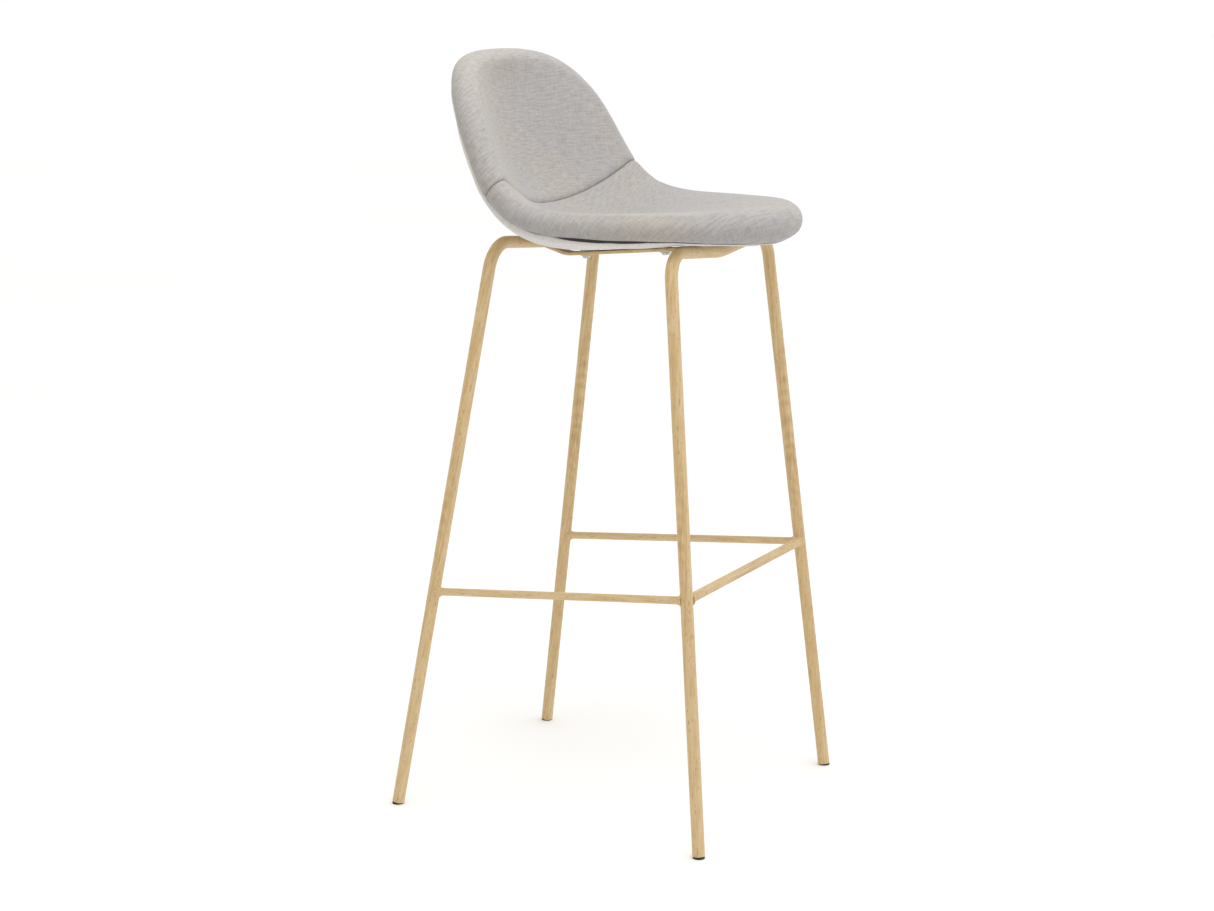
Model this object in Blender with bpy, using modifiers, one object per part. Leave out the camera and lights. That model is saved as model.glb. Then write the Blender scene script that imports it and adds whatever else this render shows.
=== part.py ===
"""Bar stool with footrest: an upholstered bucket seat on two bent tube hoops.

Metres, +Z up.  The floor is z = 0, the origin lies on the floor between the four feet,
the sitter faces -Y and the object is symmetric about X = 0.
"""
import math

import bpy
import bmesh
from mathutils import Matrix, Vector

OBJECT_NAME = "bar_stool"

# ---- fits -------------------------------------------------------------------
GAP = 0.0003                # clearance between pieces that touch on the real stool
LAYER_GAP = 0.0008          # the same between the curved layers of the seat
TUCK_ROOM = 0.0020          # room over the underside cover's edge, where the foam ends
LINING_ROOM = 0.0020        # between the underside cover, which hangs loose, and the shell
SHAFT_CLEARANCE = 0.0004    # radial play of a bolt in its holes

# ---- tube hoops: each is one bent tube, leg - cross run - leg ------------------
TUBE_RADIUS = 0.008
TUBE_WALL = 0.0015
TUBE_RESOLUTION = 4         # of the tube's round section
TUBE_SIDES = 2 * (TUBE_RESOLUTION + 2)
BEND_RADIUS = 0.033
HOOP_HEIGHT = 0.7445        # tube centre where leg and cross run would meet
HOOP_SAG = 0.0125           # how far the middle of the cross run lies below its ends
SAG_BEND_RADIUS = 0.150
FRONT_FOOT_X, FRONT_FOOT_Y = 0.2035, -0.2125
REAR_FOOT_X, REAR_FOOT_Y = 0.2045, 0.2275
FRONT_TOP_X, FRONT_TOP_Y = 0.1445, -0.1400
REAR_TOP_X, REAR_TOP_Y = 0.1405, 0.1105

# ---- footrest -------------------------------------------------------------------
FOOTREST_FRONT_Z = 0.3205
FOOTREST_REAR_Z = 0.2890
BAR_RADIUS = 0.006          # bar between the front legs
RAIL_RADIUS = 0.005         # rails between a front and a rear leg

# ---- glides pressed into the leg ends ----------------------------------------------
GLIDE_STAND = 0.0025        # how far along its axis a tube end stays above the floor
GLIDE_INSET = 0.0004        # the flange is this much smaller than the tube
GLIDE_RADIUS = TUBE_RADIUS - GLIDE_INSET
SPIGOT_LENGTH = 0.018
SPIGOT_PLAY = 0.00008       # between the spigot and the flats of the tube's bore

# ---- two flat straps between the hoops, which carry the seat --------------------------
STRAP_X = 0.050
STRAP_WIDTH = 0.020
STRAP_THICKNESS = 0.004
STRAP_INSET = 0.0012        # its upper face lies this far below the top of the tubes
FOLD_FROM_REAR = 0.060      # from the rear cross run forward to the fold
FOLD_DROP = 0.0077          # from the middle of the cross runs down to the fold
STRAP_FOLD_RADIUS = 0.040
STRAP_RISE = TUBE_RADIUS - STRAP_THICKNESS / 2 - STRAP_INSET
STRAP_FOLD_Y = REAR_TOP_Y - FOLD_FROM_REAR
STRAP_FOLD_Z = HOOP_HEIGHT - HOOP_SAG - FOLD_DROP
STRAP_EDGE = 0.0006

# ---- bolts, one stack near each end of each strap ---------------------------------------
BOLT_FROM_FRONT = 0.0525    # from the front cross run
BOLT_FROM_FOLD = 0.025      # from the strap's fold
BOLT_FRONT_Y = FRONT_TOP_Y + BOLT_FROM_FRONT
BOLT_REAR_Y = STRAP_FOLD_Y - BOLT_FROM_FOLD
BOLT_RADIUS = 0.003
BOLT_HEAD_RADIUS = 0.0055
BOLT_HEAD_HEIGHT = 0.0033
BOLT_HEAD_EDGE = 0.0023     # height of the head's straight side, over its dome
BOLT_DOME_RADIUS = 0.0040   # flat middle of the dome
BOLT_PROUD = 0.001          # thread past the T-nut
HEX_RADIUS = 0.0023
HEX_DEPTH = 0.0018
WASHER_RADIUS = 0.0075
WASHER_THICKNESS = 0.0012
T_NUT_FLANGE_RADIUS = 0.0100
T_NUT_FLANGE = 0.0012
T_NUT_WALL = 0.0015
T_NUT_BARREL_RADIUS = BOLT_RADIUS + T_NUT_WALL
T_NUT_BARREL = 0.0065
SPACER_RADIUS = 0.0080

# ---- rear pads between the rear cross run and the seat -----------------------------------
PAD_RADIUS = 0.0065
PAD_FROM_STRAP = 0.002      # free width between a pad and the strap beside it
PAD_X = STRAP_X - STRAP_WIDTH / 2 - PAD_FROM_STRAP - PAD_RADIUS

# ---- seat body --------------------------------------------------------------------------
# Stations run along the seat's centre line, from the top of the back to the front lip,
# at equal steps of the angle whose cosine measures the way along that line.
# RIM: half width, y and height of the centre of the rolled edge.  SPINE: y and height of
# the middle of the padded section on the symmetry plane.  Heights count from SEAT_DATUM.
RIM = (
    (0.0000, 0.1855, 0.1965),
    (0.0590, 0.1815, 0.1945),
    (0.1145, 0.1660, 0.1820),
    (0.1540, 0.1405, 0.1475),
    (0.1732, 0.1145, 0.0990),
    (0.1807, 0.0850, 0.0490),
    (0.1832, 0.0395, 0.0140),
    (0.1760, -0.0180, 0.0040),
    (0.1650, -0.0755, 0.0030),
    (0.1450, -0.1300, 0.0030),
    (0.1090, -0.1760, 0.0020),
    (0.0580, -0.2045, 0.0010),
    (0.0000, -0.2125, 0.0000),
)
SPINE = (
    (0.1855, 0.1965),
    (0.1860, 0.1875),
    (0.1845, 0.1600),
    (0.1755, 0.1180),
    (0.1565, 0.0650),
    (0.1195, 0.0115),
    (0.0575, -0.0210),
    (-0.0125, -0.0195),
    (-0.0775, -0.0115),
    (-0.1335, -0.0052),
    (-0.1765, -0.0020),
    (-0.2030, -0.0002),
    (-0.2125, 0.0000),
)
LAST_STATION = len(RIM) - 1
DISH_POWER = 2.2            # how late the section rises towards the rolled edge
PADDING = 0.032             # thickness of the padded section
SEAT_DATUM = HOOP_HEIGHT + TUBE_RADIUS + PADDING / 2
SIDE_ROLL = 0.0165          # radius of the rolled edge along the back and sides
LIP_ROLL = 0.0235           # and at the front lip
LIP_START = 0.70            # share of the way along the rim where the roll starts to grow
CROWN = 0.005               # extra padding between the middle and the edge, sitter's side
BELLY = 0.002               # and on the underside
SEAM = -0.226               # place of the cross seam, -1 top of the back, +1 front lip
SEAM_SLANT = 0.115          # radians by which the seam climbs towards the edges
FABRIC = 0.0012
SHELL_WALL = 0.0045
SHELL_EDGE = 0.90           # share of the way to the rim at which the shell ends
POCKET_MARGIN = 0.012       # the foam's recess ends this share further out
UNDERSIDE_EDGE = 0.955      # and at which the underside cover ends
TUCK_ANGLE = math.radians(-58)   # how far round the roll the covers are tucked
SEAM_GAP = 0.0016           # share of the way between the two covers' edges at the seam
SEAT_COLUMNS = 14
COLUMN_EASE = 0.55          # how far the columns draw together towards the sides
SEAT_ROWS = 11
BACK_ROWS = 7
ROLL_STEPS = 4
DISC_STEP = 0.004           # distance on the disc over which slopes are measured

FACET_MARGIN = 0.002        # extra reach when a flat piece is set against the curved seat
SEARCH_STEPS = 60           # grid on which such a piece finds its height
SEARCH_SHARE = 0.8          # share of the seat that the grid covers
CUTTER_REACH = 0.02         # how far a through cutter passes both faces

ROUND_SIDES = 16
CUTTER_SIDES = 32


# ---- scene ---------------------------------------------------------------------------
def clear_scene():
    for scene_object in list(bpy.data.objects):
        bpy.data.objects.remove(scene_object, do_unlink=True)


def new_collection(name):
    collection = bpy.data.collections.new(name)
    bpy.context.scene.collection.children.link(collection)
    return collection


def material(name, colour, roughness, metallic=0.0):
    made = bpy.data.materials.new(name)
    made.use_nodes = True
    shader = made.node_tree.nodes["Principled BSDF"]
    shader.inputs["Base Color"].default_value = (*colour, 1.0)
    shader.inputs["Roughness"].default_value = roughness
    shader.inputs["Metallic"].default_value = metallic
    return made


def add_object(name, data, collection, look=None):
    made = bpy.data.objects.new(name, data)
    collection.objects.link(made)
    if look is not None:
        data.materials.append(look)
    return made


def mesh_object(name, bm, collection, look=None, smooth_angle=40.0):
    bmesh.ops.recalc_face_normals(bm, faces=bm.faces[:])
    mesh = bpy.data.meshes.new(name)
    bm.to_mesh(mesh)
    bm.free()
    mesh.shade_smooth()
    mesh.set_sharp_from_angle(angle=math.radians(smooth_angle))
    return add_object(name, mesh, collection, look)


def hide_cutter(cutter):
    cutter.hide_render = True
    cutter.display_type = "WIRE"
    return cutter


def cut(target, cutter):
    modifier = target.modifiers.new("cut_" + cutter.name, "BOOLEAN")
    modifier.operation = "DIFFERENCE"
    modifier.solver = "EXACT"
    modifier.object = cutter


def solidify(target, thickness, offset):
    modifier = target.modifiers.new("wall", "SOLIDIFY")
    modifier.thickness = thickness
    modifier.offset = offset
    modifier.use_even_offset = True


# ---- round pieces ------------------------------------------------------------------------
def cylinder_mesh(bm, radius, low, high, sides=ROUND_SIDES):
    """A closed cylinder about local Z, from low to high."""
    bmesh.ops.create_cone(
        bm, cap_ends=True, segments=sides, radius1=radius, radius2=radius, depth=high - low,
        matrix=Matrix.Translation((0, 0, (low + high) / 2)))


def rod_between(name, start, end, radius, collection, look=None):
    bm = bmesh.new()
    length = (end - start).length
    cylinder_mesh(bm, radius, -length / 2, length / 2)
    rod = mesh_object(name, bm, collection, look)
    rod.location = (start + end) / 2
    rod.rotation_mode = "QUATERNION"
    rod.rotation_quaternion = (end - start).to_track_quat("Z", "Y")
    return rod


def turned(name, profile, collection, look):
    """A ring or button turned about local Z from (radius, height) pairs, listed bottom up."""
    bm = bmesh.new()
    points = [bm.verts.new((radius, 0, height)) for radius, height in reversed(profile)]
    for upper, lower in zip(points, points[1:]):
        bm.edges.new((upper, lower))
    if profile[0][0] > 0:
        bm.edges.new((points[-1], points[0]))
    mesh = bpy.data.meshes.new(name)
    bm.to_mesh(mesh)
    bm.free()
    made = add_object(name, mesh, collection, look)
    screw = made.modifiers.new("turn", "SCREW")
    screw.steps = ROUND_SIDES
    screw.render_steps = ROUND_SIDES
    screw.use_merge_vertices = True
    screw.merge_threshold = 0.00001
    screw.use_smooth_shade = True
    return made


def rounded_path(corners, radii, steps=8):
    """Points along a polyline whose inner corners are arcs of the given radii."""
    points = [corners[0].copy()]
    for before, corner, after, radius in zip(corners, corners[1:], corners[2:], radii):
        way_in = (corner - before).normalized()
        way_out = (after - corner).normalized()
        turn = way_in.angle(way_out)
        reach = radius * math.tan(turn / 2)
        centre_way = (way_out - way_in).normalized()
        centre = corner + centre_way * (radius / math.cos(turn / 2))
        first = corner - way_in * reach - centre
        axis = way_in.cross(way_out).normalized()
        for step in range(steps + 1):
            points.append(centre + Matrix.Rotation(turn * step / steps, 3, axis) @ first)
    points.append(corners[-1].copy())
    return points


# ---- hoops ---------------------------------------------------------------------------
def leg_point(foot_x, foot_y, top_x, top_y, side, height):
    """The point of a leg's centre line at a height; side is -1 right, +1 left."""
    share = height / HOOP_HEIGHT
    return Vector((
        side * (foot_x + (top_x - foot_x) * share),
        foot_y + (top_y - foot_y) * share,
        height))


def front_leg(side, height):
    return leg_point(FRONT_FOOT_X, FRONT_FOOT_Y, FRONT_TOP_X, FRONT_TOP_Y, side, height)


def rear_leg(side, height):
    return leg_point(REAR_FOOT_X, REAR_FOOT_Y, REAR_TOP_X, REAR_TOP_Y, side, height)


def hoop_corners(leg, ground):
    """Right foot, right corner, middle, left corner, left foot of a hoop."""
    right_top = leg(-1, HOOP_HEIGHT)
    left_top = leg(1, HOOP_HEIGHT)
    middle = (right_top + left_top) / 2 - Vector((0, 0, HOOP_SAG))
    right_foot, left_foot = leg(-1, 0.0), leg(1, 0.0)
    right_end = right_foot + (right_top - right_foot).normalized() * ground
    left_end = left_foot + (left_top - left_foot).normalized() * ground
    return [right_end, right_top, middle, left_top, left_end]


def tube_curve(name, points, radius, collection, resolution, caps):
    curve = bpy.data.curves.new(name, "CURVE")
    curve.dimensions = "3D"
    curve.bevel_depth = radius
    curve.bevel_resolution = resolution
    curve.use_fill_caps = caps
    spline = curve.splines.new("POLY")
    spline.points.add(len(points) - 1)
    for spline_point, point in zip(spline.points, points):
        spline_point.co = (*point, 1.0)
    return add_object(name, curve, collection)


def curve_to_mesh(curve_object, collection):
    """The same tube as a mesh with its caps welded, for use as a cutter."""
    bpy.context.view_layer.update()
    evaluated = curve_object.evaluated_get(bpy.context.evaluated_depsgraph_get())
    mesh = bpy.data.meshes.new_from_object(evaluated)
    bm = bmesh.new()
    bm.from_mesh(mesh)
    bmesh.ops.remove_doubles(bm, verts=bm.verts[:], dist=0.00001)
    bmesh.ops.recalc_face_normals(bm, faces=bm.faces[:])
    bm.to_mesh(mesh)
    bm.free()
    name, matrix = curve_object.name, curve_object.matrix_world.copy()
    bpy.data.objects.remove(curve_object, do_unlink=True)
    made = add_object(name, mesh, collection)
    made.matrix_world = matrix
    return made


def make_hoop(name, leg, parts, cutters, look):
    """The hoop itself, and the solid tube, GAP larger, that copes what meets it."""
    radii = (BEND_RADIUS, SAG_BEND_RADIUS, BEND_RADIUS)
    path = rounded_path(hoop_corners(leg, GLIDE_STAND), radii)
    hoop = tube_curve(name, path, TUBE_RADIUS, parts, TUBE_RESOLUTION, False)
    hoop.data.materials.append(look)
    solidify(hoop, TUBE_WALL, -1.0)
    cope = tube_curve(
        name + "_cope", path, TUBE_RADIUS + GAP, cutters, TUBE_RESOLUTION, True)
    return hide_cutter(curve_to_mesh(cope, cutters))


def make_floor_cutter(cutters):
    """All that lies below the floor, which levels the glides."""
    bm = bmesh.new()
    bmesh.ops.create_cube(bm, size=1.0, matrix=Matrix.Translation((0, 0, -0.5)))
    return hide_cutter(mesh_object("below_floor", bm, cutters))


def make_glide(name, leg, side, parts, below_floor, look):
    """A plug with a flange below the tube end, cut flat at the floor."""
    foot, axis = leg(side, 0.0), (leg(side, HOOP_HEIGHT) - leg(side, 0.0)).normalized()
    bore_flat = (TUBE_RADIUS - TUBE_WALL) * math.cos(math.pi / TUBE_SIDES)
    spigot_radius = bore_flat - SPIGOT_PLAY
    flange_top = GLIDE_STAND - GAP
    below = -2 * GLIDE_RADIUS
    glide = turned(name, (
        (0.0, below), (GLIDE_RADIUS, below), (GLIDE_RADIUS, flange_top),
        (spigot_radius, flange_top), (spigot_radius, flange_top + SPIGOT_LENGTH),
        (0.0, flange_top + SPIGOT_LENGTH)), parts, look)
    glide.matrix_world = (
        Matrix.Translation(foot) @ axis.to_track_quat("Z", "Y").to_matrix().to_4x4())
    cut(glide, below_floor)


# ---- seat body ---------------------------------------------------------------------------
def smooth_through(stations, angle, mirrored_x):
    """A point of the smooth curve through the stations; both ends cross X = 0 squarely."""
    place = max(0.0, min(1.0, angle / math.pi)) * LAST_STATION
    first = min(int(place), LAST_STATION - 1)
    t = place - first

    def station(index):
        mirror = index < 0 or index > LAST_STATION
        index = abs(index)
        index = 2 * LAST_STATION - index if index > LAST_STATION else index
        point = Vector(stations[index])
        if mirror and mirrored_x:
            point.x = -point.x
        return point

    a, b, c, d = (station(first + step) for step in (-1, 0, 1, 2))
    return 0.5 * (2 * b + (c - a) * t + (2 * a - 5 * b + 4 * c - d) * t ** 2
                  + (3 * b - a - 3 * c + d) * t ** 3)


def rim_at(angle):
    return smooth_through(RIM, angle, True)


def spine_at(angle):
    return smooth_through(SPINE, angle, False)


def on_disc(across, along):
    """Square grid coordinates (-1..1) to the unit disc, with the seam's slant."""
    p = across * math.sqrt(1 - along ** 2 / 2)
    q = along * math.sqrt(1 - across ** 2 / 2)
    radius = min(1.0, math.hypot(p, q))
    angle = math.atan2(q, p)
    angle -= SEAM_SLANT * math.cos(angle) * radius ** 2
    return radius * math.cos(angle), radius * math.sin(angle)


def middle_point(p, q):
    """A point of the padded section's middle surface."""
    q = max(-0.99999, min(0.99999, q))
    angle = math.acos(-q)
    share = max(-1.0, min(1.0, p / math.sin(angle)))
    rim, spine = rim_at(angle), spine_at(angle)
    rise = abs(share) ** DISH_POWER
    return Vector((
        share * rim.x,
        spine.x + (rim.y - spine.x) * rise,
        SEAT_DATUM + spine.y + (rim.z - spine.y) * rise))


def middle_normal(p, q):
    """The middle surface's normal, towards the sitter."""
    inner = 1 - 2 * DISC_STEP
    radius = math.hypot(p, q)
    if radius > inner:
        p, q = p * inner / radius, q * inner / radius
    side = middle_point(p + DISC_STEP, q) - middle_point(p - DISC_STEP, q)
    forward = middle_point(p, q + DISC_STEP) - middle_point(p, q - DISC_STEP)
    return forward.cross(side).normalized()


def roll_radius(q):
    way = (math.acos(max(-1.0, min(1.0, -q))) / math.pi - LIP_START) / (1 - LIP_START)
    way = max(0.0, min(1.0, way))
    return SIDE_ROLL + (LIP_ROLL - SIDE_ROLL) * way * way * (3 - 2 * way)


def face_offset(p, q, fill):
    """How far a face lies from the middle surface, with its extra filling."""
    near_rim = min(1.0, math.hypot(p, q)) ** 4
    share = min(1.0, abs(p) / max(0.05, math.sqrt(max(0.0, 1 - q * q))))
    swell = 4 * share ** 2 * (1 - share ** 2) * (1 - q ** 4)
    return PADDING / 2 + (roll_radius(q) - PADDING / 2) * near_rim + fill * swell


def front_point(p, q, depth=0.0):
    """A point at a depth under the sitter's face."""
    return middle_point(p, q) + middle_normal(p, q) * (face_offset(p, q, CROWN) - depth)


def back_point(p, q, depth=0.0):
    """A point at a depth inside the underside."""
    return middle_point(p, q) - middle_normal(p, q) * (face_offset(p, q, BELLY) - depth)


def roll_point(p, q, angle, depth=0.0):
    """A point of the rolled edge: angle +90 degrees is the sitter's face, -90 the underside."""
    length = math.hypot(p, q)
    p, q = p / length, q / length
    rim = middle_point(p, q)
    ahead = Matrix.Rotation(DISC_STEP, 2) @ Vector((p, q))
    behind = Matrix.Rotation(-DISC_STEP, 2) @ Vector((p, q))
    along = middle_point(*ahead) - middle_point(*behind)
    normal = middle_normal(p, q)
    outward = along.cross(normal).normalized()
    if outward.dot(rim - middle_point(p * 0.9, q * 0.9)) < 0:
        outward.negate()
    radius = roll_radius(q) - depth
    return rim + (outward * math.cos(angle) + normal * math.sin(angle)) * radius


def closer_at_edges(across):
    """Draws the columns together towards the sides, where the section curves most."""
    return (1 - COLUMN_EASE) * across + COLUMN_EASE * math.sin(across * math.pi / 2)


def sheet(bm, along_rows, place, scale=1.0):
    """A grid sheet of the seat, laid by place(p, q); vertices keep their disc coordinates."""
    disc_p = bm.verts.layers.float.get("p") or bm.verts.layers.float.new("p")
    disc_q = bm.verts.layers.float.get("q") or bm.verts.layers.float.new("q")
    rows = len(along_rows) - 1
    grid = bmesh.ops.create_grid(
        bm, x_segments=SEAT_COLUMNS, y_segments=rows, size=1.0)["verts"]
    for vertex in grid:
        row = round((vertex.co.y + 1) / 2 * rows)
        p, q = on_disc(closer_at_edges(vertex.co.x), along_rows[row])
        vertex[disc_p], vertex[disc_q] = p * scale, q * scale
        vertex.co = place(p * scale, q * scale)


def add_ring(bm, edges, place):
    """Extrudes open rim edges once and lays the new vertices by place(p, q)."""
    disc_p, disc_q = bm.verts.layers.float["p"], bm.verts.layers.float["q"]
    grown = bmesh.ops.extrude_edge_only(bm, edges=edges)["geom"]
    for vertex in (item for item in grown if isinstance(item, bmesh.types.BMVert)):
        vertex.co = place(vertex[disc_p], vertex[disc_q])
    return [item for item in grown
            if isinstance(item, bmesh.types.BMEdge) and item.is_boundary
            and all(vertex in set(grown) for vertex in item.verts)]


def rim_edges(bm):
    disc_p, disc_q = bm.verts.layers.float["p"], bm.verts.layers.float["q"]
    return [edge for edge in bm.edges if edge.is_boundary and all(
        math.hypot(vertex[disc_p], vertex[disc_q]) > 0.999 for vertex in edge.verts)]


def spread(start, end, count):
    return [start + (end - start) * index / count for index in range(count + 1)]


def make_cover(name, rows, parts, look):
    """Fabric over the sitter's face, round the roll and tucked under."""
    bm = bmesh.new()
    sheet(bm, rows, front_point)
    edges = rim_edges(bm)
    for angle in spread(math.pi / 2, TUCK_ANGLE, ROLL_STEPS)[1:]:
        edges = add_ring(bm, edges, lambda p, q, turn=angle: roll_point(p, q, turn))
    cover = mesh_object(name, bm, parts, look)
    solidify(cover, FABRIC, -1.0)
    return cover


def make_open_layer(name, rows, depth, edge, thickness, parts, look):
    """A sheet along the underside, thickened towards the sitter."""
    bm = bmesh.new()
    sheet(bm, rows, lambda p, q: back_point(p, q, depth), scale=edge)
    bmesh.ops.recalc_face_normals(bm, faces=bm.faces[:])
    middle = min(bm.faces, key=lambda face: face.calc_center_median().z)
    if middle.normal.z > 0:
        bmesh.ops.reverse_faces(bm, faces=bm.faces[:])
    mesh = bpy.data.meshes.new(name)
    bm.to_mesh(mesh)
    bm.free()
    mesh.shade_smooth()
    layer = add_object(name, mesh, parts, look)
    solidify(layer, thickness, -1.0)
    return layer


def make_foam(name, rows, parts, look):
    """The foam: under the covers, round the shell's edge, with a recess for the shell."""
    skin = FABRIC + LAYER_GAP
    recess = FABRIC + LINING_ROOM + SHELL_WALL + LAYER_GAP
    pocket_edge = SHELL_EDGE + POCKET_MARGIN
    bm = bmesh.new()
    sheet(bm, rows, lambda p, q: front_point(p, q, skin))
    edges = rim_edges(bm)
    for angle in spread(math.pi / 2, TUCK_ANGLE, ROLL_STEPS)[1:] + [-math.pi / 2]:
        edges = add_ring(bm, edges, lambda p, q, turn=angle: roll_point(p, q, turn, skin))
    for edge in (UNDERSIDE_EDGE, pocket_edge):
        edges = add_ring(
            bm, edges, lambda p, q, share=edge: back_point(
                p * share, q * share, FABRIC + TUCK_ROOM))
    add_ring(bm, edges, lambda p, q: back_point(p * pocket_edge, q * pocket_edge, recess))
    sheet(bm, rows, lambda p, q: back_point(p, q, recess), scale=pocket_edge)
    bmesh.ops.remove_doubles(bm, verts=bm.verts[:], dist=0.00005)
    return mesh_object(name, bm, parts, look)


# ---- straps and fasteners ----------------------------------------------------------------
def cross_run_centre(leg, x):
    """The centre of a hoop's cross run at a distance x from the middle."""
    top = leg(1, HOOP_HEIGHT)
    return Vector((x, top.y, HOOP_HEIGHT - HOOP_SAG * (1 - abs(x) / top.x)))


def strap_path(side):
    front = cross_run_centre(front_leg, side * STRAP_X)
    rear = cross_run_centre(rear_leg, side * STRAP_X)
    overlap = TUBE_RADIUS / 2
    start = Vector((front.x, front.y + overlap, front.z + STRAP_RISE))
    fold = Vector((front.x, STRAP_FOLD_Y, STRAP_FOLD_Z))
    end = Vector((front.x, rear.y - overlap, rear.z + STRAP_RISE))
    return rounded_path([start, fold, end], [STRAP_FOLD_RADIUS], steps=6)


def make_strap(name, side, parts, copes, look):
    path = strap_path(side)
    bm = bmesh.new()
    verts = bmesh.ops.create_grid(bm, x_segments=1, y_segments=len(path) - 1, size=1.0)["verts"]
    for vertex in verts:
        point = path[round((vertex.co.y + 1) / 2 * (len(path) - 1))]
        vertex.co = point + Vector((vertex.co.x * STRAP_WIDTH / 2, 0, 0))
    strap = mesh_object(name, bm, parts, look)
    solidify(strap, STRAP_THICKNESS, 0.0)
    rounding = strap.modifiers.new("edge", "BEVEL")
    rounding.width = STRAP_EDGE
    rounding.segments = 1
    rounding.limit_method = "ANGLE"
    rounding.angle_limit = math.radians(60)
    for cope in copes:
        cut(strap, cope)
    return strap


def strap_frame(side, y):
    """Place and tilt of a bolt stack: local Z is the strap's upward normal."""
    path = strap_path(side)
    low, high = next((a, b) for a, b in zip(path, path[1:]) if a.y <= y <= b.y)
    way = (high - low).normalized()
    point = low + way * ((y - low.y) / way.y)
    normal = Vector((1, 0, 0)).cross(way).normalized()
    across = way.cross(normal).normalized()
    axes = Matrix((across, way, normal)).transposed().to_4x4()
    return Matrix.Translation(point) @ axes


def heights_over(placing, reach, depth=0.0):
    """Local heights of the seat's layer at a depth, within a reach of the local Z axis."""
    inverse = placing.inverted()
    scale = SEARCH_SHARE / SEARCH_STEPS
    heights = []
    for i in range(-SEARCH_STEPS, SEARCH_STEPS + 1):
        for j in range(-SEARCH_STEPS, SEARCH_STEPS + 1):
            local = inverse @ back_point(scale * i, scale * j, depth)
            if math.hypot(local.x, local.y) < reach:
                heights.append(local.z)
    return heights


def make_bolt_stack(number, side, y, parts, cutters, looks, strap, layers):
    placing = strap_frame(side, y)
    under_strap = -STRAP_THICKNESS / 2 - GAP
    over_strap = STRAP_THICKNESS / 2 + GAP
    hole = BOLT_RADIUS + SHAFT_CLEARANCE
    under_seat = min(heights_over(placing, SPACER_RADIUS + FACET_MARGIN)) - GAP
    shell_inside = FABRIC + LINING_ROOM + SHELL_WALL
    washer_bottom = under_strap - WASHER_THICKNESS
    head_top = washer_bottom - GAP
    head_bottom = head_top - BOLT_HEAD_HEIGHT
    flange_bottom = max(heights_over(
        placing, T_NUT_FLANGE_RADIUS + FACET_MARGIN, shell_inside)) + LAYER_GAP
    barrel_bottom = flange_bottom - T_NUT_BARREL
    flange_top = flange_bottom + T_NUT_FLANGE
    bolt_tip = flange_top + BOLT_PROUD

    bolt = turned("frame_bolt_%d" % number, (
        (0.0, head_bottom + HEX_DEPTH), (HEX_RADIUS, head_bottom + HEX_DEPTH),
        (HEX_RADIUS, head_bottom), (BOLT_DOME_RADIUS, head_bottom),
        (BOLT_HEAD_RADIUS, head_top - BOLT_HEAD_HEIGHT + BOLT_HEAD_EDGE),
        (BOLT_HEAD_RADIUS, head_top), (BOLT_RADIUS, head_top),
        (BOLT_RADIUS, bolt_tip), (0.0, bolt_tip)), parts, looks["bolt"])
    washer = turned("nylon_washer_%d" % number, (
        (hole, washer_bottom), (WASHER_RADIUS, washer_bottom),
        (WASHER_RADIUS, under_strap), (hole, under_strap)), parts, looks["nylon"])
    spacer = turned("nylon_spacer_%d" % number, (
        (hole, over_strap), (SPACER_RADIUS, over_strap),
        (SPACER_RADIUS, under_seat), (hole, under_seat)), parts, looks["nylon"])
    t_nut = turned("t_nut_%d" % number, (
        (hole, barrel_bottom), (T_NUT_BARREL_RADIUS, barrel_bottom),
        (T_NUT_BARREL_RADIUS, flange_bottom), (T_NUT_FLANGE_RADIUS, flange_bottom),
        (T_NUT_FLANGE_RADIUS, flange_top), (hole, flange_top)), parts, looks["zinc"])

    def bore(name, radius, low, high):
        bm = bmesh.new()
        cylinder_mesh(bm, radius, low, high, CUTTER_SIDES)
        cutter = hide_cutter(mesh_object("%s_%d" % (name, number), bm, cutters))
        cutter.matrix_world = placing
        return cutter

    cut(strap, bore("strap_hole", hole, under_strap - CUTTER_REACH, over_strap + CUTTER_REACH))
    barrel_bore = bore("shell_hole", T_NUT_BARREL_RADIUS + GAP, -CUTTER_REACH, CUTTER_REACH)
    pocket = bore(
        "foam_pocket", T_NUT_FLANGE_RADIUS + GAP, under_seat, bolt_tip + GAP)
    cut(layers["underside"], barrel_bore)
    cut(layers["shell"], barrel_bore)
    cut(layers["foam"], pocket)
    for piece in (bolt, washer, spacer, t_nut):
        piece.matrix_world = placing


def make_rear_pad(name, side, parts, cope, look):
    """A nylon rest that stands on the rear cross run and meets the seat's underside."""
    centre = cross_run_centre(rear_leg, side * PAD_X)
    placing = Matrix.Translation(centre)
    top = min(heights_over(placing, PAD_RADIUS + FACET_MARGIN)) - GAP
    bm = bmesh.new()
    cylinder_mesh(bm, PAD_RADIUS, TUBE_RADIUS / 2, top)
    pad = mesh_object(name, bm, parts, look)
    pad.location = centre
    cut(pad, cope)


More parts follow.
